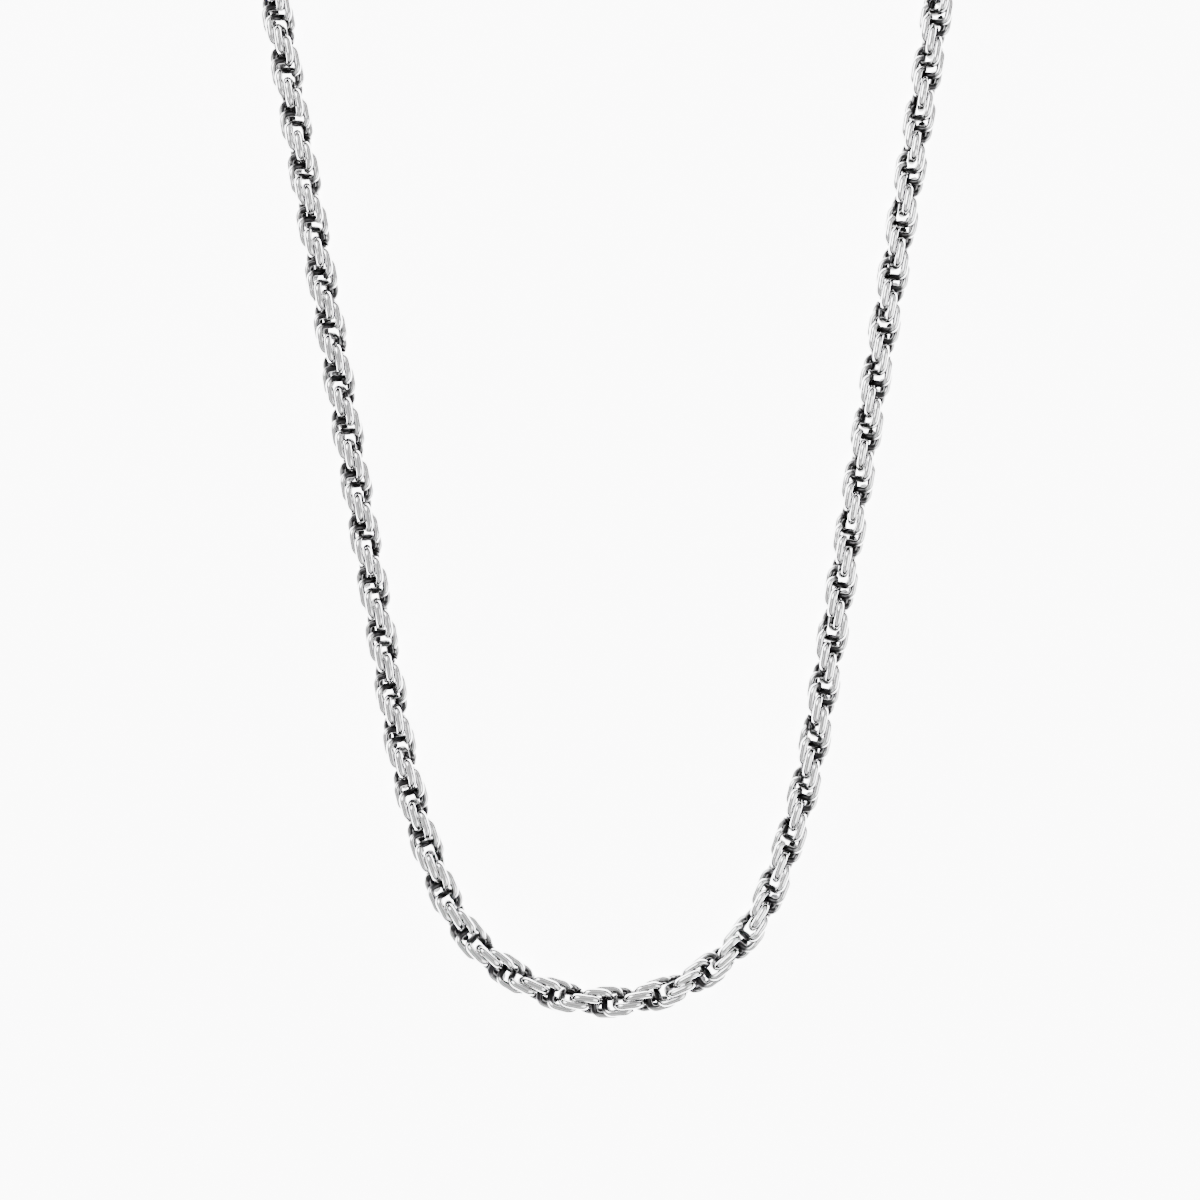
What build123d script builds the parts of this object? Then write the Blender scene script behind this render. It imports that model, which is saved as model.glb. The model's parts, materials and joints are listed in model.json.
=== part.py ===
from build123d import *
import math
import os

# ---------------------------------------------------------------------------
# Rope-chain necklace, lying flat and fastened.  Millimetres, +Z up.
# The origin is under the middle of the loop, on the surface it lies on.
# +Y runs from the front bow of the chain to the clasp, +X to the right of it.
# ---------------------------------------------------------------------------

# Chain link: a round-cornered C of round wire, standing across the chain axis.
# Each link holds the next two on both sides, and turns on from the last one.
# Bar play is the room between the bars of neighbouring links, side by side round
# the rope, and hold is how far a link reaches past the middle of the next one.
wire_radius = 0.45
bar_play = 0.154
link_corner_radius = 0.9
link_gap_turn = 30.0
link_pitch = 1.36
link_hold = 0.33
link_turn = -37.0

# Line of the chain, from the middle of the front bow up each side to the caps.
bow_radius = 22.3
bow_turn = 68.0
flank_radius = 100.0
splay_angle = 9.5
links_per_side = 174
lead_in = 3.0
cap_rise_length = 20.0

# Groups of links: stiff lengths between short lengths that bend.
first_bend_link = 32
bend_links = 9
stiff_links = 12
bend_count = 5

# End caps, with an eye on each.
cap_wall = 0.31
cap_clearance = 0.05
cap_end_play = 0.3
cap_shoulder_step = 0.5
cap_floor = 1.8
cap_nose_radius = 0.8
cap_edge = 0.12
cap_insertion = 0.9
cap_eye_radius = 1.2
eye_wire_radius = 0.4

# Rings between the caps and the clasp.
ring_radius = 1.85
jump_wire_radius = 0.4
catch_wire_radius = 0.45
jump_seam = 0.04
wire_play = 0.1

# Lobster clasp, in its own plane: x towards the hook, y towards the trigger.
clasp_eye_radius = 1.3
clasp_thickness = 2.4
clasp_edge = 0.45
neck_step = 0.7
neck_radius = 0.9
heel_x = 4.2
heel_rise = 0.4
heel_radius = 1.15
pivot_x = 3.4
pivot_y = 1.3
ear_radius = 1.2
hook_radius = 2.0
hook_x = 8.0
hook_bar_radius = 0.62
spring_room = 1.1

# Trigger, its pin and its spring.
trigger_web = 1.2
trigger_bar_radius = 0.55
trigger_barrel_radius = 0.9
trigger_bar_start = 2.0
trigger_overlap = 0.3
trigger_side_play = 0.08
trigger_gap = 0.1
pin_radius = 0.4
pin_play = 0.03
spring_thickness = 0.15
spring_width = 1.0
spring_bend = 0.6
spring_inset = 0.2
spring_heel_x = 0.95
spring_heel_play = 0.15
spring_tip_x = 1.45
nib_outline = [(0.9, 0.3), (1.15, 1.75), (1.75, 1.9), (2.3, 0.3)]

os.makedirs("parts", exist_ok=True)


# ---------------------------------------------------------------------------
# Where things lie along the closure, which runs straight along X at the back.
# Each step is from one wire to the wire it pulls on, with a little play.
# ---------------------------------------------------------------------------
link_half_length = link_pitch + link_hold
link_half_width = (wire_radius + bar_play / 2) / math.sin(math.radians(abs(link_turn) / 2))
chain_radius = link_half_width + wire_radius
cap_radius = chain_radius + cap_clearance + cap_wall
cap_bore_depth = cap_insertion + link_half_length + wire_radius + cap_end_play
cap_shoulder = cap_bore_depth + cap_shoulder_step
cap_length = cap_bore_depth + cap_floor
closure_height = max(cap_radius, ring_radius + max(jump_wire_radius, catch_wire_radius))
cap_to_eye = cap_length + cap_eye_radius - eye_wire_radius + wire_play
eye_to_jump = cap_eye_radius - eye_wire_radius - jump_wire_radius - wire_play + ring_radius
jump_to_clasp = ring_radius + clasp_eye_radius - eye_wire_radius - jump_wire_radius - wire_play
clasp_to_hooked = hook_x + hook_radius - hook_bar_radius - catch_wire_radius - wire_play
eye_to_catch = cap_eye_radius - eye_wire_radius - catch_wire_radius - wire_play + ring_radius

closure_run = (
    cap_to_eye + eye_to_jump + jump_to_clasp + clasp_to_hooked + ring_radius + eye_to_catch + cap_to_eye
)
left_mouth_x = -closure_run / 2
left_eye_x = left_mouth_x + cap_to_eye
jump_x = left_eye_x + eye_to_jump
clasp_x = jump_x + jump_to_clasp
catch_x = clasp_x + clasp_to_hooked + ring_radius
right_eye_x = catch_x + eye_to_catch
right_mouth_x = closure_run / 2

# ---------------------------------------------------------------------------
# Route: bow arc, flank arc, straight side, back arc, straight closure.
# The side is as long as the links need, and the back arc closes the loop.
# ---------------------------------------------------------------------------
bow_angle = math.radians(bow_turn)
side_angle = math.radians(90 - splay_angle)
back_turn = math.pi - side_angle
half_route = links_per_side * link_pitch - cap_insertion + closure_run / 2
back_straight = closure_run / 2 + lead_in
flank_end_x = bow_radius * math.sin(bow_angle) + flank_radius * (
    math.sin(side_angle) - math.sin(bow_angle)
)
run_before_side = bow_radius * bow_angle + flank_radius * (side_angle - bow_angle)
side_length = (
    half_route
    - run_before_side
    - back_straight
    - back_turn * (flank_end_x - back_straight) / math.sin(side_angle)
) / (1 + back_turn / math.tan(side_angle))
back_radius = (flank_end_x + side_length * math.cos(side_angle) - back_straight) / math.sin(side_angle)


def side_route(side):
    """The line of the chain on one side, 1 right or -1 left, from the bow outwards."""
    with BuildLine() as route:
        bow = JernArc((0, 0), (side, 0), bow_radius, side * bow_turn)
        flank = JernArc(bow @ 1, bow % 1, flank_radius, side * (90 - splay_angle - bow_turn))
        straight = Line(flank @ 1, (flank @ 1) + (flank % 1) * side_length)
        back = JernArc(straight @ 1, straight % 1, back_radius, side * (90 + splay_angle))
        Line(back @ 1, (back @ 1) + (back % 1) * back_straight)
    return route.wire()


right_route = side_route(1)
left_route = side_route(-1)
closure_y = (right_route @ 1).Y
loop_shift = (chain_radius - cap_radius - closure_y) / 2
clasp_y = closure_y + loop_shift


def chain_height(distance):
    """Height of the chain axis: on the surface, rising gently to the caps."""
    end = links_per_side * link_pitch - 2 * cap_insertion
    share = min(max((distance - end + cap_rise_length) / cap_rise_length, 0), 1)
    return chain_radius + (closure_height - chain_radius) * share * share * (3 - 2 * share)


def link_place(index):
    """Where link number index stands, counted from the middle of the front bow."""
    route = right_route if index >= 0 else left_route
    distance = abs(index) * link_pitch
    point = route.position_at(distance, position_mode=PositionMode.LENGTH)
    heading = route.tangent_at(distance, position_mode=PositionMode.LENGTH)
    along = heading if index >= 0 else heading * -1
    across = Vector(-along.Y, along.X, 0)
    turn = math.radians(link_turn * index)
    outward = across * math.cos(turn) + Vector(0, 0, math.sin(turn))
    centre = Vector(point.X, point.Y + loop_shift, chain_height(distance))
    return Plane(origin=centre, x_dir=outward, z_dir=along).location


def link_group(name, indices):
    """One node of separate links, written to its own file."""
    places = [link_place(index) for index in indices]
    group = Compound(label=name, children=[link.part.moved(place) for place in places])
    export_step(group, f"parts/{name}.step")
    return group


# ---------------------------------------------------------------------------
# One link.  Its outline lies in XZ, with Z along the chain.  It is open over
# its +Z end and part of the corner there, where its neighbours cover it.
# ---------------------------------------------------------------------------
side_run = link_half_length - link_corner_radius
end_run = link_half_width - link_corner_radius

with BuildPart() as link:
    with BuildLine(Plane.XZ) as outline:
        first_corner = JernArc((end_run, link_half_length), (1, 0), link_corner_radius, -90)
        first_side = Line(first_corner @ 1, (link_half_width, -side_run))
        second_corner = JernArc(first_side @ 1, (0, -1), link_corner_radius, -90)
        closed_end = Line(second_corner @ 1, (-end_run, -link_half_length))
        third_corner = JernArc(closed_end @ 1, (-1, 0), link_corner_radius, -90)
        last_side = Line(third_corner @ 1, (-link_half_width, side_run))
        JernArc(last_side @ 1, (0, 1), link_corner_radius, link_gap_turn - 90)
    outline_wire = outline.wire()
    with BuildSketch(Plane(origin=outline_wire @ 0, z_dir=outline_wire % 0)):
        Circle(wire_radius)
    sweep(path=outline_wire)

# ---------------------------------------------------------------------------
# The links: a front bow, then on each side stiff lengths between lengths that
# bend, and a last stiff length round the back into the end cap.
# ---------------------------------------------------------------------------
link_group("front_links", range(1 - first_bend_link, first_bend_link))
for bend in range(bend_count):
    bend_start = first_bend_link + bend * (bend_links + stiff_links)
    bend_end = bend_start + bend_links
    bend_range = range(bend_start, bend_end)
    link_group(f"bend_{bend + 1}_right", bend_range)
    link_group(f"bend_{bend + 1}_left", [-index for index in bend_range])
    last_group = bend == bend_count - 1
    stiff_range = range(bend_end, links_per_side + 1 if last_group else bend_end + stiff_links)
    stiff_name = "back_links" if last_group else f"links_{bend + 1}"
    link_group(f"{stiff_name}_right", stiff_range)
    link_group(f"{stiff_name}_left", [-index for index in stiff_range])
    fold_place = link_place(bend_start + bend_links // 2).position
    print(f"fold {bend + 1} axis at y {fold_place.Y:.3f}, z {fold_place.Z:.3f}")

# ---------------------------------------------------------------------------
# End caps: a cup over the last links, with a ring-shaped eye on its nose.
# ---------------------------------------------------------------------------
cap_mouths = {"end_cap_left": (left_mouth_x, 1), "end_cap_right": (right_mouth_x, -1)}
for cap_name, (mouth_x, side) in cap_mouths.items():
    mouth = (mouth_x, clasp_y, closure_height)
    with BuildPart() as end_cap:
        with BuildSketch(Plane(origin=mouth, x_dir=(side, 0, 0), z_dir=(0, 0, side))):
            with BuildLine():
                Polyline(
                    (0, cap_radius - cap_wall),
                    (0, cap_radius),
                    (cap_shoulder, cap_radius),
                    (cap_length, cap_nose_radius),
                    (cap_length, 0),
                    (cap_bore_depth, 0),
                    (cap_bore_depth, cap_radius - cap_wall),
                    close=True,
                )
            make_face()
        revolve(axis=Axis(mouth, (side, 0, 0)))
        fillet(end_cap.edges().filter_by(GeomType.CIRCLE).group_by(SortBy.RADIUS)[-1], cap_edge)
        with Locations((mouth_x + side * cap_to_eye, clasp_y, closure_height)):
            Torus(cap_eye_radius, eye_wire_radius)
    end_cap.part.label = cap_name
    export_step(end_cap.part, f"parts/{cap_name}.step")

# ---------------------------------------------------------------------------
# The two rings stand on edge.  The catch ring is soldered shut, and the jump
# ring keeps a hairline seam at its top.
# ---------------------------------------------------------------------------
with BuildPart() as catch_ring:
    with Locations(Location((catch_x, clasp_y, closure_height), (90, 0, 0))):
        Torus(ring_radius, catch_wire_radius)
catch_ring.part.label = "catch_ring"
export_step(catch_ring.part, "parts/catch_ring.step")

with BuildPart() as jump_ring:
    with Locations(Location((jump_x, clasp_y, closure_height), (90, 0, 0))):
        Torus(ring_radius, jump_wire_radius)
    with Locations((jump_x, clasp_y, closure_height + ring_radius)):
        Box(jump_seam, 4 * jump_wire_radius, 4 * jump_wire_radius, mode=Mode.SUBTRACT)
jump_ring.part.label = "jump_ring"
export_step(jump_ring.part, "parts/jump_ring.step")

# ---------------------------------------------------------------------------
# Lobster clasp: a flat heel with the eye behind it, and a round bar bent into
# the hook, whose tip is cut round the pivot so that the trigger swings past.
# ---------------------------------------------------------------------------
clasp_plane = Plane(origin=(clasp_x, clasp_y, closure_height), x_dir=(1, 0, 0), z_dir=(0, 0, 1))
arm_turn = math.degrees(math.atan2(hook_radius - pivot_y, hook_x - pivot_x))
arm_plane = Plane(
    origin=clasp_plane.from_local_coords((pivot_x, pivot_y, 0)),
    x_dir=(math.cos(math.radians(arm_turn)), math.sin(math.radians(arm_turn)), 0),
    z_dir=(0, 0, 1),
)
bar_plane = Plane(
    origin=arm_plane.from_local_coords((trigger_bar_start, 0, 0)),
    z_dir=arm_plane.x_dir,
)
trigger_reach = math.hypot(hook_x - pivot_x, hook_radius - pivot_y) + trigger_overlap
neck_x = clasp_eye_radius + neck_step
heel_y = heel_rise - hook_radius
slot_width = trigger_web + 2 * trigger_side_play
slot_back_x = pivot_x - ear_radius
slot_floor_y = pivot_y - trigger_barrel_radius - spring_room
slot_end_x = heel_x + heel_radius
slot_end_y = pivot_y + ear_radius

with BuildPart() as hook:
    with BuildLine(clasp_plane) as hook_line:
        hook_back = Line((heel_x, -hook_radius), (hook_x, -hook_radius))
        JernArc(hook_back @ 1, (1, 0), hook_radius, 180)
    hook_wire = hook_line.wire()
    with BuildSketch(Plane(origin=hook_wire @ 0, z_dir=hook_wire % 0)):
        Circle(hook_bar_radius)
    sweep(path=hook_wire)
    with BuildSketch(clasp_plane):
        with Locations((pivot_x, pivot_y)):
            Circle(trigger_reach + trigger_gap)
        with Locations((hook_x, hook_radius)):
            Rectangle(2 * hook_x, 2 * hook_radius, mode=Mode.INTERSECT)
    extrude(amount=clasp_thickness, both=True, mode=Mode.SUBTRACT)

with BuildPart() as clasp_body:
    with BuildSketch(clasp_plane.offset(-clasp_thickness / 2)):
        with Locations((neck_x, 0)):
            Circle(neck_radius)
        with Locations((pivot_x, pivot_y)):
            Circle(ear_radius)
        with Locations((heel_x, heel_y)):
            Circle(heel_radius)
        make_hull()
    extrude(amount=clasp_thickness)
    fillet(clasp_body.edges().filter_by(Plane.XY), clasp_edge)
    add(hook.part)
    with Locations(clasp_plane.location):
        Torus(clasp_eye_radius, eye_wire_radius)
        with Locations(((slot_back_x + slot_end_x) / 2, (slot_floor_y + slot_end_y) / 2, 0)):
            Box(
                slot_end_x - slot_back_x,
                slot_end_y - slot_floor_y,
                slot_width,
                mode=Mode.SUBTRACT,
            )
    with Locations(arm_plane.location):
        Cylinder(pin_radius, clasp_thickness, mode=Mode.SUBTRACT)
clasp_body.part.label = "clasp_body"
export_step(clasp_body.part, "parts/clasp_body.step")

with BuildPart() as trigger_pin:
    with Locations(arm_plane.location):
        Cylinder(pin_radius, clasp_thickness)
trigger_pin.part.label = "trigger_pin"
export_step(trigger_pin.part, "parts/trigger_pin.step")

with BuildPart() as trigger:
    with BuildSketch(arm_plane.offset(-trigger_web / 2)):
        Circle(trigger_barrel_radius)
        with Locations((trigger_bar_start / 2, 0)):
            Rectangle(trigger_bar_start + trigger_bar_radius, 2 * trigger_bar_radius)
        with BuildLine():
            Polyline(*nib_outline, close=True)
        make_face()
    extrude(amount=trigger_web)
    with BuildSketch(bar_plane):
        Circle(trigger_bar_radius)
    extrude(amount=trigger_reach)
    with Locations(arm_plane.location):
        Cylinder(trigger_reach, clasp_thickness, mode=Mode.INTERSECT)
        Cylinder(pin_radius + pin_play, clasp_thickness, mode=Mode.SUBTRACT)
trigger.part.label = "trigger"
export_step(trigger.part, "parts/trigger.step")

# The spring is a bent strip in the slot, from its back up to the trigger's web.
with BuildPart() as trigger_spring:
    with BuildSketch(clasp_plane.offset(-spring_width / 2)):
        with BuildLine() as spring_line:
            FilletPolyline(
                (slot_back_x + spring_inset, slot_floor_y + spring_inset),
                (pivot_x + spring_heel_x, slot_floor_y + spring_heel_play),
                (pivot_x + spring_tip_x, pivot_y - trigger_bar_radius),
                radius=spring_bend,
            )
        trace(line_width=spring_thickness)
    extrude(amount=spring_width)
trigger_spring.part.label = "trigger_spring"
export_step(trigger_spring.part, "parts/trigger_spring.step")

print(f"necklace {2 * half_route:.1f} mm round, side {side_length:.1f}, back radius {back_radius:.1f}")
print(f"chain diameter {2 * chain_radius:.3f}, caps {2 * cap_radius:.3f}, axis height {closure_height:.4f}")
print(f"bow y {loop_shift:.3f}, z {chain_radius:.3f}")
print(f"clasp line y {clasp_y:.3f}, closure {closure_run:.2f} long")
print(f"pivot {clasp_x + pivot_x:.3f}, {clasp_y + pivot_y:.3f}; jump x {jump_x:.3f}; catch x {catch_x:.3f}")
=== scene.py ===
"""A polished silver rope-chain necklace, fastened and lying flat on a pale studio surface.

The solid model gives the frame: where the fold axes, the rings and the trigger's pivot are.
The chain is rebuilt link by link as smooth round wire along the same route. Each group of
links rides the body that its plain solid belongs to, or, where it lies between two bodies, is built in place
on none.
All lengths are in metres.
"""
import json
import logging
import math
from dataclasses import dataclass, field
from enum import Enum

import bmesh
import bpy
import numpy as np
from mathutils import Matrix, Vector


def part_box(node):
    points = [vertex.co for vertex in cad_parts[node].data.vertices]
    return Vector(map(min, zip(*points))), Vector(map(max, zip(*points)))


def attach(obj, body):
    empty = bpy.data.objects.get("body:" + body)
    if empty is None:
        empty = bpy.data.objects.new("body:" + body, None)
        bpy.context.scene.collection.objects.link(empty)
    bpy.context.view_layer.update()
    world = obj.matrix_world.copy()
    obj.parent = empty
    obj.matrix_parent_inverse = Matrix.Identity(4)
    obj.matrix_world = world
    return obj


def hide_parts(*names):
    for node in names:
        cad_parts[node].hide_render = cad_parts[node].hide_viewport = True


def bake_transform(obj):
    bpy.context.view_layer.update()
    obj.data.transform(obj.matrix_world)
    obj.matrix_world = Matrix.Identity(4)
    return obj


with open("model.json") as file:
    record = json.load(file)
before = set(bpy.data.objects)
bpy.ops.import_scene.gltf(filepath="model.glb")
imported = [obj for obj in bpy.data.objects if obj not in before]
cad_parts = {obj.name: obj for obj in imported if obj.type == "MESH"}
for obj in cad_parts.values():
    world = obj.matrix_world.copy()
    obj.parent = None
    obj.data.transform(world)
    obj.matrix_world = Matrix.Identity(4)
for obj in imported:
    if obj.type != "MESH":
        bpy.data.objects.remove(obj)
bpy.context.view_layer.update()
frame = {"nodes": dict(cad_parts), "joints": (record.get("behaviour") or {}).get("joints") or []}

MM = 0.001
RING_ROWS = 128
RING_COLUMNS = 40
CUT_EDGE = 0.93
BROAD_MARKS = 0.16
WEAR_REACH = 0.16
# Painted shade: between these mask values the hollows darken from bare metal to full shade, and the roughness
# after them is that of the full shade.
HOLLOW_START = 0.25
HOLLOW_FULL = 0.85
RECESS_ROUGHNESS = 0.3
MARK_HEIGHT = 0.02 * MM
log = logging.getLogger("necklace")


# ---------------------------------------------------------------------------
# Mesh helpers
# ---------------------------------------------------------------------------
def joint_position(name: str) -> np.ndarray:
    """A joint's point in the frame.

    Args:
        name: the joint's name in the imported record.

    Returns:
        Its position in metres.
    """
    joint = next(joint for joint in frame["joints"] if joint["name"] == name)
    return np.array(joint["pos_m"], float)


def grid_faces(rows: int, columns: int, close_rows: bool, close_columns: bool) -> np.ndarray:
    """Quads of a grid of points numbered row by row.

    Args:
        rows: points along the first parameter.
        columns: points along the second parameter.
        close_rows: True if the last row joins the first.
        close_columns: True if the last column joins the first.

    Returns:
        An array of quads, one row of four point numbers each.
    """
    row = np.arange(rows if close_rows else rows - 1)[:, None]
    column = np.arange(columns if close_columns else columns - 1)[None, :]
    next_row = (row + 1) % rows
    next_column = (column + 1) % columns
    corners = (
        row * columns + column,
        row * columns + next_column,
        next_row * columns + next_column,
        next_row * columns + column,
    )
    return np.stack(np.broadcast_arrays(*corners), axis=-1).reshape(-1, 4)


def new_piece(name: str, points: np.ndarray, faces: list, smooth_levels: int = 0) -> bpy.types.Object:
    """Makes an object at the origin from points and faces, smooth shaded.

    Args:
        name: the piece's name.
        points: its vertices, n by 3, in the frame.
        faces: its faces as lists of point numbers.
        smooth_levels: subdivision levels, 0 for none.

    Returns:
        The new object.
    """
    mesh = bpy.data.meshes.new(name)
    mesh.from_pydata(points.tolist(), [], faces)
    mesh.polygons.foreach_set("use_smooth", np.ones(len(mesh.polygons), bool))
    mesh.update()
    piece = bpy.data.objects.new(name, mesh)
    bpy.context.scene.collection.objects.link(piece)
    if smooth_levels:
        smoothing = piece.modifiers.new("smooth", "SUBSURF")
        smoothing.levels = smooth_levels
        smoothing.render_levels = smooth_levels
    return piece


def point_attribute(piece: bpy.types.Object, name: str, values: np.ndarray) -> None:
    """Stores one number per vertex under a name that a material can read."""
    attribute = piece.data.attributes.new(name, "FLOAT", "POINT")
    attribute.data.foreach_set("value", np.ascontiguousarray(values, np.float32))


def lathe(profile: np.ndarray, start: np.ndarray, axis: np.ndarray, columns: int) -> tuple[np.ndarray, list]:
    """Turns a profile round an axis.

    A profile point (a, r) becomes start + a axis + r (cos t u + sin t v), where u and v stand
    square to the axis. The first and last profile points lie on the axis and close the poles.

    Args:
        profile: distances along the axis and from it, n by 2.
        start: the axis's starting point.
        axis: its unit direction.
        columns: points round each circle.

    Returns:
        The points and the faces.
    """
    side = np.array([0.0, 1.0, 0.0])
    upward = np.cross(axis, side)
    angle = np.arange(columns) * 2 * math.pi / columns
    spokes = np.cos(angle)[:, None] * side + np.sin(angle)[:, None] * upward
    rims = profile[1:-1]
    circles = start + rims[:, :1, None] * axis + rims[:, 1:, None] * spokes
    poles = start + profile[[0, -1], :1] * axis
    faces = grid_faces(len(rims), columns, False, True).tolist()
    number = np.arange(columns)
    first, last = len(rims) * columns, len(rims) * columns + 1
    shift = (len(rims) - 1) * columns
    faces += np.stack([np.full(columns, first), (number + 1) % columns, number], axis=1).tolist()
    last_fan = [np.full(columns, last), shift + number, shift + (number + 1) % columns]
    faces += np.stack(last_fan, axis=1).tolist()
    return np.concatenate([circles.reshape(-1, 3), poles]), faces


def bent_wire(
    centre: np.ndarray, across: np.ndarray, upward: np.ndarray, radius: float, wire: float, gap: float
) -> tuple[np.ndarray, list]:
    """Round wire bent to a circle, whole or cut at the top.

    The point at angles t round the circle and p round the wire is
    centre + (R + w cos p)(sin t across + cos t upward) + w sin p (across x upward), where the
    wire's radius w drops to CUT_EDGE of itself at a cut end, as a cut edge does.

    Args:
        centre: the circle's centre.
        across: unit direction of its quarter turn.
        upward: unit direction of its top.
        radius: radius of the wire's centre line.
        wire: radius of the wire.
        gap: width of the cut, 0 for a whole ring.

    Returns:
        The points and the faces.
    """
    rows, columns = RING_ROWS, RING_COLUMNS
    half_gap = gap / 2 / radius
    turn = np.linspace(half_gap, 2 * math.pi - half_gap, rows, endpoint=bool(gap))
    edge = np.ones(rows)
    if gap:
        edge[[0, -1]] = CUT_EDGE
    round_wire = np.arange(columns) * 2 * math.pi / columns
    out = np.sin(turn)[:, None] * across + np.cos(turn)[:, None] * upward
    thick = wire * edge[:, None]
    reach = radius + thick * np.cos(round_wire)
    depth = thick * np.sin(round_wire)
    points = centre + reach[..., None] * out[:, None] + depth[..., None] * np.cross(across, upward)
    faces = grid_faces(rows, columns, not gap, True).tolist()
    if gap:
        faces.append(list(range(columns)))
        faces.append([(rows - 1) * columns + number for number in reversed(range(columns))])
    return points.reshape(-1, 3), faces


def face_outwards(piece: bpy.types.Object) -> None:
    """Turns every face of a closed piece outwards."""
    shell = bmesh.new()
    shell.from_mesh(piece.data)
    bmesh.ops.recalc_face_normals(shell, faces=shell.faces)
    shell.to_mesh(piece.data)
    shell.free()


# ---------------------------------------------------------------------------
# Finishes
# ---------------------------------------------------------------------------
class Metal(Enum):
    """The metals of the necklace."""

    CHAIN_SILVER = "chain_silver"
    FITTING_SILVER = "fitting_silver"
    PIN_STEEL = "pin_steel"
    SPRING_STEEL = "spring_steel"


@dataclass(frozen=True)
class Finish:
    """One metal's look.

    The bare colour and roughness are those of the polished surface. The painted shade colour and
    amount say how dark the hollows are painted, as shade, and mark size and depth are those of the finest
    polishing marks.
    """

    color: tuple[float, float, float]
    painted_shade_color: tuple[float, float, float]
    roughness: float
    painted_shade: float
    mark_scale: float
    mark_depth: float


# The second colour and the fourth number of each finish are painted shade: the dark colour mixed into its
# hollows, and how far.
FINISHES: dict[Metal, Finish] = {
    Metal.CHAIN_SILVER: Finish((0.90, 0.90, 0.905), (0.045, 0.044, 0.046), 0.11, 1.0, 2600.0, 0.05),
    Metal.FITTING_SILVER: Finish((0.93, 0.93, 0.935), (0.30, 0.29, 0.29), 0.10, 0.35, 1700.0, 0.04),
    Metal.PIN_STEEL: Finish((0.72, 0.72, 0.74), (0.30, 0.30, 0.32), 0.28, 0.3, 3000.0, 0.08),
    Metal.SPRING_STEEL: Finish((0.50, 0.51, 0.56), (0.18, 0.18, 0.22), 0.32, 0.4, 3000.0, 0.08),
}


def group_socket(group: bpy.types.NodeTree, name: str, side: str, kind: str, value: object = None) -> None:
    """Adds a named socket to a node group.

    Args:
        group: the node group.
        name: the socket's name.
        side: "INPUT" or "OUTPUT".
        kind: the socket's type, such as "NodeSocketFloat".
        value: its default, where it has one.
    """
    socket = group.interface.new_socket(name=name, in_out=side, socket_type=kind)
    if value is not None:
        socket.default_value = value


def make_polish_marks() -> bpy.types.NodeTree:
    """Node group of fine marks left by polishing: two sizes of noise make a height and a wear mask.

    Returns:
        The group, with Scale in, and Height and Wear out.
    """
    group = bpy.data.node_groups.new("polish_marks", "ShaderNodeTree")
    group_socket(group, "Scale", "INPUT", "NodeSocketFloat", 2000.0)
    group_socket(group, "Height", "OUTPUT", "NodeSocketFloat")
    group_socket(group, "Wear", "OUTPUT", "NodeSocketFloat")
    nodes, links = group.nodes, group.links
    entry = nodes.new("NodeGroupInput")
    leave = nodes.new("NodeGroupOutput")
    place = nodes.new("ShaderNodeTexCoord")
    fine = nodes.new("ShaderNodeTexNoise")
    fine.inputs["Detail"].default_value = 3.0
    broad = nodes.new("ShaderNodeTexNoise")
    broad.inputs["Detail"].default_value = 2.0
    broader = nodes.new("ShaderNodeMath")
    broader.operation = "MULTIPLY"
    broader.inputs[1].default_value = BROAD_MARKS
    links.new(place.outputs["Object"], fine.inputs["Vector"])
    links.new(place.outputs["Object"], broad.inputs["Vector"])
    links.new(entry.outputs["Scale"], fine.inputs["Scale"])
    links.new(entry.outputs["Scale"], broader.inputs[0])
    links.new(broader.outputs[0], broad.inputs["Scale"])
    blend = nodes.new("ShaderNodeMath")
    blend.operation = "ADD"
    links.new(fine.outputs["Fac"], blend.inputs[0])
    links.new(broad.outputs["Fac"], blend.inputs[1])
    links.new(blend.outputs[0], leave.inputs["Height"])
    links.new(broad.outputs["Fac"], leave.inputs["Wear"])
    return group


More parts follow.
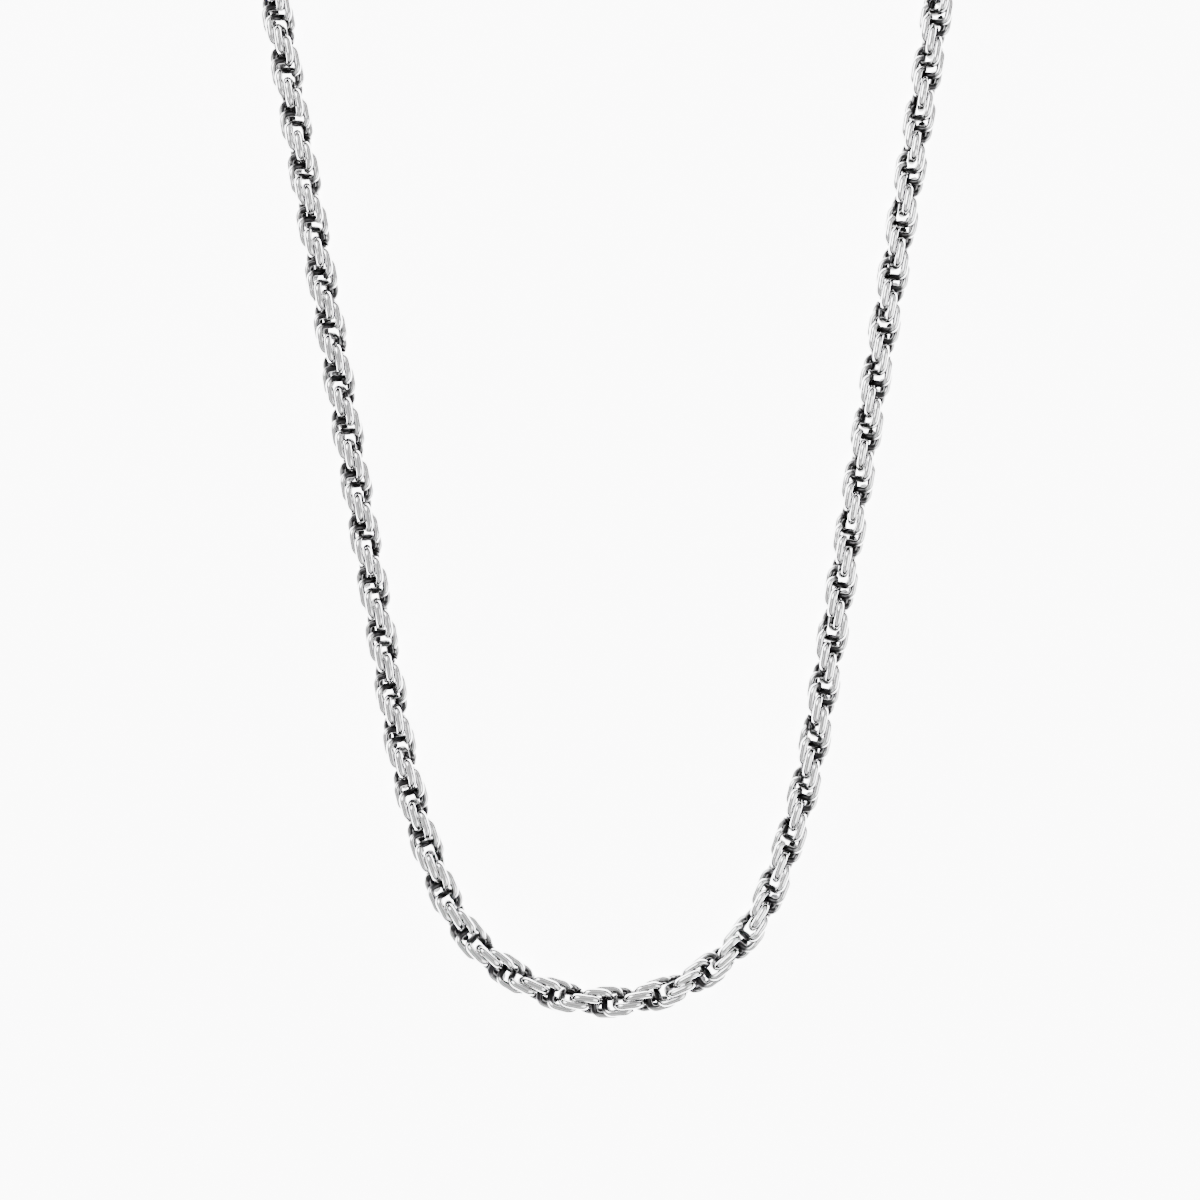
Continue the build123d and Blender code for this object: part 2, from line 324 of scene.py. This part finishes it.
def make_painted_shade() -> bpy.types.NodeTree:
    """Node group of painted shade: a hollow mask mixes bare values with darker, rougher ones, painting shade
    into a metal's hollows.

    Returns:
        The group, with Hollow, Wear, Bare, Dark, Amount and Polish in, and Color and Roughness out.
    """
    group = bpy.data.node_groups.new("painted_shade", "ShaderNodeTree")
    group_socket(group, "Hollow", "INPUT", "NodeSocketFloat", 0.0)
    group_socket(group, "Wear", "INPUT", "NodeSocketFloat", 0.5)
    group_socket(group, "Bare", "INPUT", "NodeSocketColor", (0.9, 0.9, 0.9, 1.0))
    group_socket(group, "Dark", "INPUT", "NodeSocketColor", (0.05, 0.05, 0.05, 1.0))
    group_socket(group, "Amount", "INPUT", "NodeSocketFloat", 1.0)
    group_socket(group, "Polish", "INPUT", "NodeSocketFloat", 0.15)
    group_socket(group, "Color", "OUTPUT", "NodeSocketColor")
    group_socket(group, "Roughness", "OUTPUT", "NodeSocketFloat")
    nodes, links = group.nodes, group.links
    entry = nodes.new("NodeGroupInput")
    leave = nodes.new("NodeGroupOutput")
    uneven = nodes.new("ShaderNodeMapRange")
    uneven.inputs["To Min"].default_value = -WEAR_REACH
    uneven.inputs["To Max"].default_value = WEAR_REACH
    ragged = nodes.new("ShaderNodeMath")
    ragged.operation = "ADD"
    edge = nodes.new("ShaderNodeMapRange")
    edge.interpolation_type = "SMOOTHSTEP"
    edge.inputs["From Min"].default_value = HOLLOW_START
    edge.inputs["From Max"].default_value = HOLLOW_FULL
    strength = nodes.new("ShaderNodeMath")
    strength.operation = "MULTIPLY"
    strength.use_clamp = True
    # Painted shade: the colour is mixed from the bare value towards the dark one as the hollow mask rises,
    # and the roughness with it.
    color = nodes.new("ShaderNodeMix")
    color.data_type = "RGBA"
    rough = nodes.new("ShaderNodeMapRange")
    rough.inputs["To Max"].default_value = RECESS_ROUGHNESS
    links.new(entry.outputs["Wear"], uneven.inputs["Value"])
    links.new(entry.outputs["Hollow"], ragged.inputs[0])
    links.new(uneven.outputs["Result"], ragged.inputs[1])
    links.new(ragged.outputs[0], edge.inputs["Value"])
    links.new(edge.outputs["Result"], strength.inputs[0])
    links.new(entry.outputs["Amount"], strength.inputs[1])
    links.new(strength.outputs[0], color.inputs["Factor"])
    links.new(entry.outputs["Bare"], color.inputs["A"])
    links.new(entry.outputs["Dark"], color.inputs["B"])
    links.new(strength.outputs[0], rough.inputs["Value"])
    links.new(entry.outputs["Polish"], rough.inputs["To Min"])
    links.new(color.outputs["Result"], leave.inputs["Color"])
    links.new(rough.outputs["Result"], leave.inputs["Roughness"])
    return group


@dataclass
class Workshop:
    """Builds each metal's material once and lays it on pieces."""

    marks: bpy.types.NodeTree = field(default_factory=make_polish_marks)
    # The node group that paints shade into the hollows.
    painted_shade: bpy.types.NodeTree = field(default_factory=make_painted_shade)
    made: dict[Metal, bpy.types.Material] = field(default_factory=dict)

    def material(self, metal: Metal) -> bpy.types.Material:
        """The material of a metal, made at its first use.

        Args:
            metal: which metal.

        Returns:
            Its node material.
        """
        if metal in self.made:
            return self.made[metal]
        finish = FINISHES[metal]
        material = bpy.data.materials.new(metal.value)
        material.use_nodes = True
        nodes, links = material.node_tree.nodes, material.node_tree.links
        surface = nodes["Principled BSDF"]
        surface.inputs["Metallic"].default_value = 1.0
        hollow = nodes.new("ShaderNodeAttribute")
        hollow.attribute_name = "hollow"
        marks = nodes.new("ShaderNodeGroup")
        marks.node_tree = self.marks
        marks.inputs["Scale"].default_value = finish.mark_scale
        # Painted shade: the group darkens the colour where the hollow attribute is high, its edge made uneven
        # by the polishing marks' broad noise.
        painted_shade = nodes.new("ShaderNodeGroup")
        painted_shade.node_tree = self.painted_shade
        painted_shade.inputs["Bare"].default_value = (*finish.color, 1.0)
        painted_shade.inputs["Dark"].default_value = (*finish.painted_shade_color, 1.0)
        painted_shade.inputs["Amount"].default_value = finish.painted_shade
        painted_shade.inputs["Polish"].default_value = finish.roughness
        bump = nodes.new("ShaderNodeBump")
        bump.inputs["Strength"].default_value = finish.mark_depth
        bump.inputs["Distance"].default_value = MARK_HEIGHT
        links.new(hollow.outputs["Fac"], painted_shade.inputs["Hollow"])
        links.new(marks.outputs["Wear"], painted_shade.inputs["Wear"])
        links.new(marks.outputs["Height"], bump.inputs["Height"])
        links.new(painted_shade.outputs["Color"], surface.inputs["Base Color"])
        links.new(painted_shade.outputs["Roughness"], surface.inputs["Roughness"])
        links.new(bump.outputs["Normal"], surface.inputs["Normal"])
        self.made[metal] = material
        return material

    def dress(self, piece: bpy.types.Object, metal: Metal) -> None:
        """Lays one metal on every face of a piece.

        Args:
            piece: the object.
            metal: its metal.
        """
        piece.data.materials.clear()
        piece.data.materials.append(self.material(metal))


# ---------------------------------------------------------------------------
# The chain
# ---------------------------------------------------------------------------
@dataclass
class ChainRoute:
    """The chain's line: bow arc, flank arc, straight side, back arc and straight closure, on both sides."""

    bow_radius: float = 22.3 * MM
    bow_turn: float = math.radians(68.0)
    flank_radius: float = 100.0 * MM
    side_angle: float = math.radians(90.0 - 9.5)
    links_per_side: int = 174
    pitch: float = 1.36 * MM
    insertion: float = 0.9 * MM
    lead_in: float = 3.0 * MM
    rise_length: float = 20.0 * MM
    axis_height: float = 2.111 * MM
    closure_run: float = 29.26 * MM

    def __post_init__(self) -> None:
        """Works out the runs that close the loop, and where its front is."""
        closure = joint_position("clasp_roll")
        self.closure_height = float(closure[2])
        back_turn = math.pi - self.side_angle
        half = self.links_per_side * self.pitch - self.insertion + self.closure_run / 2
        back_straight = self.closure_run / 2 + self.lead_in
        flank_end = self.bow_radius * math.sin(self.bow_turn) + self.flank_radius * (
            math.sin(self.side_angle) - math.sin(self.bow_turn)
        )
        before = self.bow_radius * self.bow_turn + self.flank_radius * (self.side_angle - self.bow_turn)
        bend_over = back_turn * (flank_end - back_straight) / math.sin(self.side_angle)
        side = (half - before - back_straight - bend_over) / (1 + back_turn / math.tan(self.side_angle))
        side_end = flank_end + side * math.cos(self.side_angle)
        back_radius = (side_end - back_straight) / math.sin(self.side_angle)
        self.runs = [
            (self.bow_radius * self.bow_turn, 1 / self.bow_radius),
            (self.flank_radius * (self.side_angle - self.bow_turn), 1 / self.flank_radius),
            (side, 0.0),
            (back_radius * back_turn, 1 / back_radius),
            (back_straight, 0.0),
        ]
        _, tops, _ = self.along(np.array([half]))
        self.front_y = float(closure[1] - tops[0])

    def along(self, distance: np.ndarray) -> tuple[np.ndarray, np.ndarray, np.ndarray]:
        """Places on the right side's line.

        Each run is a straight or an arc: over a length d from heading a, an arc of curvature k
        moves by (sin(a + kd) - sin a) / k and (cos a - cos(a + kd)) / k.

        Args:
            distance: lengths along the line from the middle of the bow.

        Returns:
            x, y and heading, as arrays.
        """
        x = np.zeros_like(distance)
        y = np.zeros_like(distance)
        heading = np.zeros_like(distance)
        left = distance.copy()
        for length, curvature in self.runs:
            part = np.clip(left, 0.0, length)
            turned = heading + curvature * part
            if curvature:
                x = x + (np.sin(turned) - np.sin(heading)) / curvature
                y = y + (np.cos(heading) - np.cos(turned)) / curvature
            else:
                x = x + part * np.cos(heading)
                y = y + part * np.sin(heading)
            heading = turned
            left = left - length
        return x, y, heading

    def frames(self, index: np.ndarray, turn: float) -> tuple[np.ndarray, np.ndarray]:
        """Where links stand: centres, and the three axes of each link.

        Args:
            index: link numbers, 0 in the middle of the bow and negative to the left.
            turn: the turn from one link to the next, in radians.

        Returns:
            Centres, n by 3, and axes, n by 3 by 3, whose rows are a link's x, y and z.
        """
        distance = np.abs(index) * self.pitch
        side = np.where(index < 0, -1.0, 1.0)
        x, y, heading = self.along(distance)
        end = self.links_per_side * self.pitch - 2 * self.insertion
        share = np.clip((distance - end + self.rise_length) / self.rise_length, 0.0, 1.0)
        height = self.axis_height + (self.closure_height - self.axis_height) * share**2 * (3 - 2 * share)
        centres = np.stack([side * x, self.front_y + y, height], axis=1)
        heading = heading * side
        none = np.zeros_like(heading)
        forward = np.stack([np.cos(heading), np.sin(heading), none], axis=1)
        across = np.stack([-np.sin(heading), np.cos(heading), none], axis=1)
        up = np.stack([none, none, none + 1.0], axis=1)
        angle = (turn * index)[:, None]
        outward = across * np.cos(angle) + up * np.sin(angle)
        return centres, np.stack([outward, np.cross(forward, outward), forward], axis=1)


@dataclass
class RopeChain:
    """The links: round wire bent to a round-cornered C, wound along the route."""

    route: ChainRoute
    workshop: Workshop
    wire_radius: float = 0.45 * MM
    bar_play: float = 0.154 * MM
    hold: float = 0.33 * MM
    corner_radius: float = 0.9 * MM
    gap_turn: float = math.radians(30.0)
    turn: float = math.radians(-37.0)
    bar_half_depth: float = 0.455 * MM
    bar_half_breadth: float = 0.49 * MM
    outline_points: int = 15
    section_points: int = 6
    smooth_levels: int = 2
    # The painted shade in the chain's hollows fades from full inside hollow_in to none outside hollow_out,
    # measured from the chain's axis.
    hollow_out: float = 1.92 * MM
    hollow_in: float = 1.32 * MM
    first_bend_link: int = 32
    bend_links: int = 9
    stiff_links: int = 12
    bends: int = 5

    def __post_init__(self) -> None:
        """Works out the link's length from the pitch, and its width from bars that lie side by side."""
        self.half_length = self.route.pitch + self.hold
        self.half_width = (self.wire_radius + self.bar_play / 2) / math.sin(abs(self.turn) / 2)

    def outline(self) -> np.ndarray:
        """The wire's centre line in the link's own plane, evenly spaced.

        The outline is a rectangle with round corners. Its points are found by length along its
        straights and arcs, starting on the side of the gap that has the open end straight.

        Returns:
            Points x, z, with x away from the chain's axis and z along it.
        """
        side_run = self.half_length - self.corner_radius
        end_run = self.half_width - self.corner_radius
        quarter = math.pi / 2
        turns = [quarter, 0, quarter, 0, quarter, 0, quarter - self.gap_turn]
        lengths = [0, 2 * side_run, 0, 2 * end_run, 0, 2 * side_run, 0]
        runs = [length or turn * self.corner_radius for length, turn in zip(lengths, turns)]
        distance = np.linspace(0.0, sum(runs), self.outline_points)
        x = np.full_like(distance, end_run)
        z = np.full_like(distance, self.half_length)
        heading = np.zeros_like(distance)
        left = distance.copy()
        for run, turn in zip(runs, turns):
            part = np.clip(left, 0.0, run)
            turned = heading - turn * part / run
            if turn:
                x = x - (np.sin(turned) - np.sin(heading)) * self.corner_radius
                z = z - (np.cos(heading) - np.cos(turned)) * self.corner_radius
            else:
                x = x + part * np.cos(heading)
                z = z + part * np.sin(heading)
            heading = turned
            left = left - run
        return np.stack([x, z], axis=1)

    def link_cage(self) -> tuple[np.ndarray, list]:
        """One link's coarse cage, whose subdivision is the round wire.

        A subdivided cage pulls in to (P[i-1] + 4 P[i] + P[i+1]) / 6 along a line and to
        (4 + 2 cos(2 pi / n)) / 6 of its radius round a section of n points. The cage is solved
        along the wire and widened round it, so that the smooth surface has the real sizes.
        The wire is fullest on the two bars, where it is worn flat and broad, and thins with the
        square of the distance from them to its drawn size at the ends.

        Returns:
            The cage's points in the link's own axes, and its faces.
        """
        line = self.outline()
        count = len(line)
        pull = np.eye(count) * 4 + np.eye(count, k=1) + np.eye(count, k=-1)
        pull[0, :2] = (6, 0)
        pull[-1, -2:] = (0, 6)
        line = np.linalg.solve(pull / 6, line)
        along = np.gradient(line, axis=0)
        along /= np.linalg.norm(along, axis=1, keepdims=True)
        normal = np.stack([-along[:, 1], along[:, 0]], axis=1)
        angle = np.arange(self.section_points) * 2 * math.pi / self.section_points
        widen = 6 / (4 + 2 * math.cos(2 * math.pi / self.section_points))
        bar = np.clip(np.abs(line[:, 0]) / self.half_width, 0.0, 1.0) ** 2
        half_depth = widen * (self.wire_radius + (self.bar_half_depth - self.wire_radius) * bar)
        half_breadth = widen * (self.wire_radius + (self.bar_half_breadth - self.wire_radius) * bar)
        across = line[:, None] + normal[:, None] * (half_depth[:, None] * np.cos(angle))[..., None]
        depth = half_breadth[:, None] * np.sin(angle)
        points = np.stack([across[..., 0], depth, across[..., 1]], axis=-1)
        faces = grid_faces(count, self.section_points, False, True).tolist()
        ring = list(range(self.section_points))
        faces.append(ring)
        faces.append([(count - 1) * self.section_points + number for number in reversed(ring)])
        return points.reshape(-1, 3), faces

    def build_group(self, name: str, index: np.ndarray, node: str) -> bpy.types.Object:
        """One group of links as a single piece that stands for its plain solids.

        Args:
            name: the piece's name.
            index: the link numbers in the group.
            node: the node that it replaces.

        Returns:
            The piece, dressed, in its place.
        """
        cage, faces = self.link_cage()
        centres, axes = self.route.frames(index, self.turn)
        points = np.einsum("pj,njk->npk", cage, axes) + centres[:, None]
        shift = np.arange(len(index))[:, None] * len(cage)
        quads = np.array(faces[:-2])
        caps = np.array(faces[-2:])
        all_faces = (quads[None] + shift[..., None]).reshape(-1, 4).tolist()
        all_faces += (caps[None] + shift[..., None]).reshape(-1, self.section_points).tolist()
        piece = new_piece(name, points.reshape(-1, 3), all_faces, self.smooth_levels)
        # Painted shade: wire near the chain's axis, inside the rope, is marked hollow, and the material
        # darkens it there.
        radial = np.hypot(cage[:, 0], cage[:, 1])
        hollow = np.clip((self.hollow_out - radial) / (self.hollow_out - self.hollow_in), 0.0, 1.0)
        point_attribute(piece, "hollow", np.tile(hollow, len(index)))
        self.workshop.dress(piece, Metal.CHAIN_SILVER)
        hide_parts(node)
        return piece

    def build(self) -> list[bpy.types.Object]:
        """Every group of links: the front bow, then bending and stiff lengths up both sides.

        Returns:
            The pieces.
        """
        front = self.build_group(
            "front_rope", np.arange(1 - self.first_bend_link, self.first_bend_link), "front_links"
        )
        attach(front, "front")
        pieces = [front]
        for bend in range(1, self.bends + 1):
            start = self.first_bend_link + (bend - 1) * (self.bend_links + self.stiff_links)
            end = start + self.bend_links
            last = bend == self.bends
            upper = "back" if last else f"links_{bend}"
            stop = self.route.links_per_side + 1 if last else end + self.stiff_links
            for side, sign in (("left", -1), ("right", 1)):
                node = f"bend_{bend}_{side}"
                bending = self.build_group(f"bending_rope_{bend}_{side}", sign * np.arange(start, end), node)
                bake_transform(bending)
                node = f"back_links_{side}" if last else f"links_{bend}_{side}"
                stiff = self.build_group(f"{node}_rope", sign * np.arange(end, stop), node)
                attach(stiff, upper)
                pieces += [bending, stiff]
        return pieces


# ---------------------------------------------------------------------------
# The closure
# ---------------------------------------------------------------------------
@dataclass
class EndCap:
    """A turned cup with a rolled bead at its mouth, a step at its shoulder and a ring eye."""

    workshop: Workshop
    wall: float = 0.31 * MM
    bore_depth: float = 3.34 * MM
    shoulder: float = 3.84 * MM
    length: float = 5.14 * MM
    nose_radius: float = 0.8 * MM
    eye_radius: float = 1.2 * MM
    eye_wire: float = 0.4 * MM
    bead_height: float = 0.10 * MM
    bead_width: float = 0.34 * MM
    lip_outside: float = 0.05 * MM
    lip_inside: float = 0.04 * MM
    wall_start: float = 0.02 * MM
    dome_points: int = 18
    wall_points: int = 60
    columns: int = 96

    def profile(self, radius: float) -> np.ndarray:
        """The cup's outline from its nose, over its outside and lip, to the floor of its bore.

        The outside is a straight wall with a raised bead, cos squared across its width, at the
        mouth and before the shoulder. From the shoulder to the nose the radius falls by
        (1 - cos) / 2 of the way along, which leaves both ends square to the axis.

        Args:
            radius: the cup's largest radius, over its beads.

        Returns:
            Distances along the axis from the mouth, and from the axis.
        """
        body = radius - self.bead_height
        share = np.linspace(1.0, 0.0, self.dome_points)
        dome_along = self.shoulder + (self.length - self.shoulder) * share
        dome = body + (self.nose_radius - body) * (1 - np.cos(math.pi * share)) / 2
        along = np.linspace(self.shoulder, self.wall_start, self.wall_points)[1:]
        outside = np.full_like(along, body)
        for middle in (self.bead_width, self.shoulder - 2 * self.bead_width):
            reach = np.clip((along - middle) / self.bead_width, -1.0, 1.0)
            outside += self.bead_height * np.cos(reach * math.pi / 2) ** 2
        bore = radius - self.wall
        lip = np.array(
            [(0.0, body - self.lip_outside), (0.0, bore + self.lip_inside), (self.lip_inside, bore)]
        )
        floor = np.array([(self.bore_depth, bore), (self.bore_depth, bore / 2), (self.bore_depth, 0.0)])
        nose = np.array([(self.length, 0.0)])
        walls = [np.stack([dome_along, dome], axis=1), np.stack([along, outside], axis=1)]
        return np.concatenate([nose, *walls, lip, floor])

    def build(self, side: str, sign: float) -> bpy.types.Object:
        """One cap in its place.

        Args:
            side: "left" or "right".
            sign: 1.0 if the cap points along +X, -1.0 if it points along -X.

        Returns:
            The piece.
        """
        node = f"end_cap_{side}"
        low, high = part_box(node)
        middle = (np.array(low) + np.array(high)) / 2
        mouth = middle.copy()
        mouth[0] = low[0] if sign > 0 else high[0]
        tip = high[0] if sign > 0 else low[0]
        axis = np.array([sign, 0.0, 0.0])
        cup, cup_faces = lathe(self.profile((high[2] - low[2]) / 2), mouth, axis, self.columns)
        eye_centre = middle.copy()
        eye_centre[0] = tip - sign * (self.eye_radius + self.eye_wire)
        across, forward = np.array([1.0, 0.0, 0.0]), np.array([0.0, 1.0, 0.0])
        eye, eye_faces = bent_wire(eye_centre, across, forward, self.eye_radius, self.eye_wire, 0.0)
        eye_faces = (np.array(eye_faces) + len(cup)).tolist()
        piece = new_piece(f"{node}_turned", np.concatenate([cup, eye]), cup_faces + eye_faces)
        face_outwards(piece)
        # Painted shade: the inside of the bore is marked hollow, and the material darkens it there.
        along = (cup[:, 0] - mouth[0]) * sign
        radial = np.hypot(cup[:, 1] - mouth[1], cup[:, 2] - mouth[2])
        inside = (radial < (high[2] - low[2]) / 2 - 0.9 * self.wall) & (along < 1.01 * self.bore_depth)
        point_attribute(piece, "hollow", np.concatenate([inside.astype(float), np.zeros(len(eye))]))
        self.workshop.dress(piece, Metal.FITTING_SILVER)
        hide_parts(node)
        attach(piece, "back")
        return piece


@dataclass
class Clasp:
    """The rings, and the cast clasp with its trigger, pin and spring."""

    workshop: Workshop
    ring_radius: float = 1.85 * MM
    jump_wire: float = 0.40 * MM
    catch_wire: float = 0.45 * MM
    jump_seam: float = 0.04 * MM
    cast_voxel: float = 0.05 * MM
    cast_rounds: int = 8
    weld_distance: float = 0.0005 * MM
    spring_root: tuple[float, float] = (-1.0 * MM, -1.80 * MM)
    spring_heel: tuple[float, float] = (0.95 * MM, -1.85 * MM)
    spring_tip: tuple[float, float] = (1.45 * MM, -0.55 * MM)
    spring_bend: float = 0.45 * MM
    spring_width: float = 1.0 * MM
    spring_thickness: float = 0.15 * MM
    spring_run_points: int = 16
    spring_section_points: int = 24
    spring_squareness: float = 0.4

    def build_ring(self, node: str, wire: float, gap: float) -> bpy.types.Object:
        """A ring standing on edge, in the place of its node.

        Args:
            node: the node that it replaces, which is also its body.
            wire: radius of its wire.
            gap: width of its seam, 0 if soldered shut.

        Returns:
            The piece.
        """
        centre = joint_position(f"{node}_turn")
        across, upward = np.array([1.0, 0.0, 0.0]), np.array([0.0, 0.0, 1.0])
        points, faces = bent_wire(centre, across, upward, self.ring_radius, wire, gap)
        piece = new_piece(f"{node}_wire", points, faces)
        face_outwards(piece)
        self.workshop.dress(piece, Metal.FITTING_SILVER)
        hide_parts(node)
        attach(piece, node)
        return piece

    def build_cast(self, node: str, body: str) -> bpy.types.Object:
        """A casting: the node's shape with its edges softened, as polishing leaves them.

        The merged copy is covered by an even skin of quads one voxel wide, whose points are then
        averaged with their neighbours a few times over.

        Args:
            node: the node that it copies and replaces.
            body: the body that it rides on.

        Returns:
            The piece.
        """
        mesh = frame["nodes"][node].data.copy()
        solid = bmesh.new()
        solid.from_mesh(mesh)
        bmesh.ops.remove_doubles(solid, verts=solid.verts, dist=self.weld_distance)
        solid.to_mesh(mesh)
        solid.free()
        piece = bpy.data.objects.new(f"{node}_cast", mesh)
        bpy.context.scene.collection.objects.link(piece)
        skin = piece.modifiers.new("skin", "REMESH")
        skin.mode = "VOXEL"
        skin.voxel_size = self.cast_voxel
        soften = piece.modifiers.new("soften", "SMOOTH")
        soften.factor = 0.5
        soften.iterations = self.cast_rounds
        bpy.context.view_layer.update()
        shaped = piece.evaluated_get(bpy.context.evaluated_depsgraph_get())
        finished = bpy.data.meshes.new_from_object(shaped)
        piece.modifiers.clear()
        piece.data = finished
        finished.polygons.foreach_set("use_smooth", np.ones(len(finished.polygons), bool))
        self.workshop.dress(piece, Metal.FITTING_SILVER)
        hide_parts(node)
        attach(piece, body)
        return piece

    def build_spring(self) -> bpy.types.Object:
        """The leaf spring: a bent strip from its root round its heel to its tip, built in place on no body.

        The line is two straights joined at the heel by the curve
        (1 - u)^2 a + 2 u (1 - u) heel + u^2 b, where a and b lie one bend before and after it.
        The strip's section is a rectangle with softened corners: the signed cos and sin of the
        angle, each raised to the power spring_squareness.

        Returns:
            The piece.
        """
        pivot = joint_position("trigger_open")
        root, heel, tip = np.array([self.spring_root, self.spring_heel, self.spring_tip])
        before = heel + (root - heel) / np.linalg.norm(root - heel) * self.spring_bend
        after = heel + (tip - heel) / np.linalg.norm(tip - heel) * self.spring_bend
        share = np.linspace(0.0, 1.0, self.spring_run_points)[:, None]
        curve = (1 - share) ** 2 * before + 2 * share * (1 - share) * heel + share**2 * after
        line = np.concatenate([root + (before - root) * share[:-1], curve, after + (tip - after) * share[1:]])
        along = np.gradient(line, axis=0)
        along /= np.linalg.norm(along, axis=1, keepdims=True)
        normal = np.stack([-along[:, 1], along[:, 0]], axis=1)
        count = self.spring_section_points
        angle = np.arange(count) * 2 * math.pi / count
        square = np.abs([np.cos(angle), np.sin(angle)]) ** self.spring_squareness
        thick = np.sign(np.cos(angle)) * square[0] * self.spring_thickness / 2
        wide = np.sign(np.sin(angle)) * square[1] * self.spring_width / 2
        flat = pivot[:2] + line[:, None] + normal[:, None] * thick[:, None]
        height = np.broadcast_to(pivot[2] + wide[:, None], flat.shape[:2] + (1,))
        points = np.concatenate([flat, height], axis=2)
        faces = grid_faces(len(line), count, False, True).tolist()
        faces += [list(range(count)), [(len(line) - 1) * count + number for number in reversed(range(count))]]
        piece = new_piece("trigger_spring_strip", points.reshape(-1, 3), faces)
        face_outwards(piece)
        self.workshop.dress(piece, Metal.SPRING_STEEL)
        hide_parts("trigger_spring")
        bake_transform(piece)
        return piece

    def build(self) -> list[bpy.types.Object]:
        """The rings, the castings and the spring, with the pin's own solid in polished steel."""
        self.workshop.dress(frame["nodes"]["trigger_pin"], Metal.PIN_STEEL)
        return [
            self.build_ring("jump_ring", self.jump_wire, self.jump_seam),
            self.build_ring("catch_ring", self.catch_wire, 0.0),
            self.build_cast("clasp_body", "clasp"),
            self.build_cast("trigger", "trigger"),
            self.build_spring(),
        ]


# ---------------------------------------------------------------------------
# Studio
# ---------------------------------------------------------------------------
@dataclass
class Studio:
    """Camera, soft light and the pale surface."""

    field_width: float = 152.4 * MM
    lens: float = 100.0
    sensor: float = 36.0
    aim_x: float = -0.9 * MM
    aim_above_bow: float = 50.8 * MM
    floor_glow: float = 9.0
    floor_height: float = -0.15 * MM
    floor_half: float = 1.5
    floor_tone: float = 0.95
    floor_roughness: float = 0.9
    floor_specular: float = 0.1
    clip_near: float = 0.01
    clip_far: float = 10.0
    light_aim: tuple[float, float, float] = (0.0, -0.04, 0.0)
    key_place: tuple[float, float, float] = (-0.35, 0.25, 0.55)
    key_size: float = 0.35
    key_watts: float = 4.0
    fill_place: tuple[float, float, float] = (0.45, -0.20, 0.50)
    fill_size: float = 0.45
    fill_watts: float = 2.5
    sky_strength: float = 1.3
    sky_levels: tuple[tuple[float, float], ...] = (
        (0.0, 0.10),
        (0.08, 0.01),
        (0.44, 0.01),
        (0.52, 0.80),
        (0.75, 0.90),
        (0.90, 0.50),
        (1.0, 0.45),
    )

    def build_camera(self) -> None:
        """A long lens straight above the front of the necklace, framing it to where the sides leave."""
        camera = bpy.data.cameras.new("camera")
        camera.lens = self.lens
        camera.sensor_width = self.sensor
        camera.clip_start = self.clip_near
        camera.clip_end = self.clip_far
        holder = bpy.data.objects.new("camera", camera)
        low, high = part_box("front_links")
        bow_line = low.y + (high.z - low.z) / 2
        distance = self.field_width * self.lens / self.sensor
        holder.location = (self.aim_x, bow_line + self.aim_above_bow, distance)
        bpy.context.scene.collection.objects.link(holder)
        bpy.context.scene.camera = holder

    def build_floor(self) -> None:
        """A wide white surface just under the necklace, which glows so that no shadow shows."""
        half = self.floor_half
        corners = np.array([(-half, -half, 0), (half, -half, 0), (half, half, 0), (-half, half, 0)], float)
        corners[:, 2] = self.floor_height
        floor = new_piece("studio_floor", corners, [(0, 1, 2, 3)])
        material = bpy.data.materials.new("pale_surface")
        material.use_nodes = True
        surface = material.node_tree.nodes["Principled BSDF"]
        surface.inputs["Base Color"].default_value = (*[self.floor_tone] * 3, 1.0)
        surface.inputs["Roughness"].default_value = self.floor_roughness
        surface.inputs["Specular IOR Level"].default_value = self.floor_specular
        surface.inputs["Emission Color"].default_value = (1.0, 1.0, 1.0, 1.0)
        surface.inputs["Emission Strength"].default_value = self.floor_glow
        floor.data.materials.append(material)

    def build_light(self, name: str, place: tuple, size: float, watts: float) -> None:
        """One square soft light aimed at the middle of the visible chain.

        Args:
            name: the light's name.
            place: where it hangs.
            size: its side.
            watts: its power.
        """
        light = bpy.data.lights.new(name, "AREA")
        light.shape = "SQUARE"
        light.size = size
        light.energy = watts
        lamp = bpy.data.objects.new(name, light)
        lamp.location = place
        aim = Vector(self.light_aim) - Vector(place)
        lamp.rotation_euler = aim.to_track_quat("-Z", "Y").to_euler()
        bpy.context.scene.collection.objects.link(lamp)

    def build_world(self) -> None:
        """A studio bright above and near black below the horizon, so that round metal shows its edges."""
        world = bpy.data.worlds.new("studio")
        bpy.context.scene.world = world
        world.use_nodes = True
        nodes, links = world.node_tree.nodes, world.node_tree.links
        sky = nodes["Background"]
        place = nodes.new("ShaderNodeTexCoord")
        split = nodes.new("ShaderNodeSeparateXYZ")
        ramp = nodes.new("ShaderNodeValToRGB")
        links.new(place.outputs["Generated"], split.inputs["Vector"])
        links.new(split.outputs["Z"], ramp.inputs["Fac"])
        links.new(ramp.outputs["Color"], sky.inputs["Color"])
        stops = ramp.color_ramp.elements
        levels = self.sky_levels
        stops[0].position, stops[1].position = levels[0][0], levels[-1][0]
        for height, _ in levels[1:-1]:
            stops.new(height)
        for stop, (_, level) in zip(stops, levels):
            stop.color = (level, level, level, 1.0)
        sky.inputs["Strength"].default_value = self.sky_strength

    def build(self) -> None:
        """Sets up everything round the necklace."""
        self.build_camera()
        self.build_world()
        self.build_floor()
        self.build_light("key_light", self.key_place, self.key_size, self.key_watts)
        self.build_light("fill_light", self.fill_place, self.fill_size, self.fill_watts)


def main() -> None:
    """Builds the studio, then the necklace, and reports each piece."""
    logging.basicConfig(level=logging.INFO)
    Studio().build()
    workshop = Workshop()
    chain = RopeChain(ChainRoute(), workshop)
    cap = EndCap(workshop)
    pieces = chain.build() + [cap.build("left", 1.0), cap.build("right", -1.0)] + Clasp(workshop).build()
    for piece in pieces:
        log.info("%s: %d faces", piece.name, len(piece.data.polygons))
    bpy.context.view_layer.update()


if __name__ == "__main__":
    main()
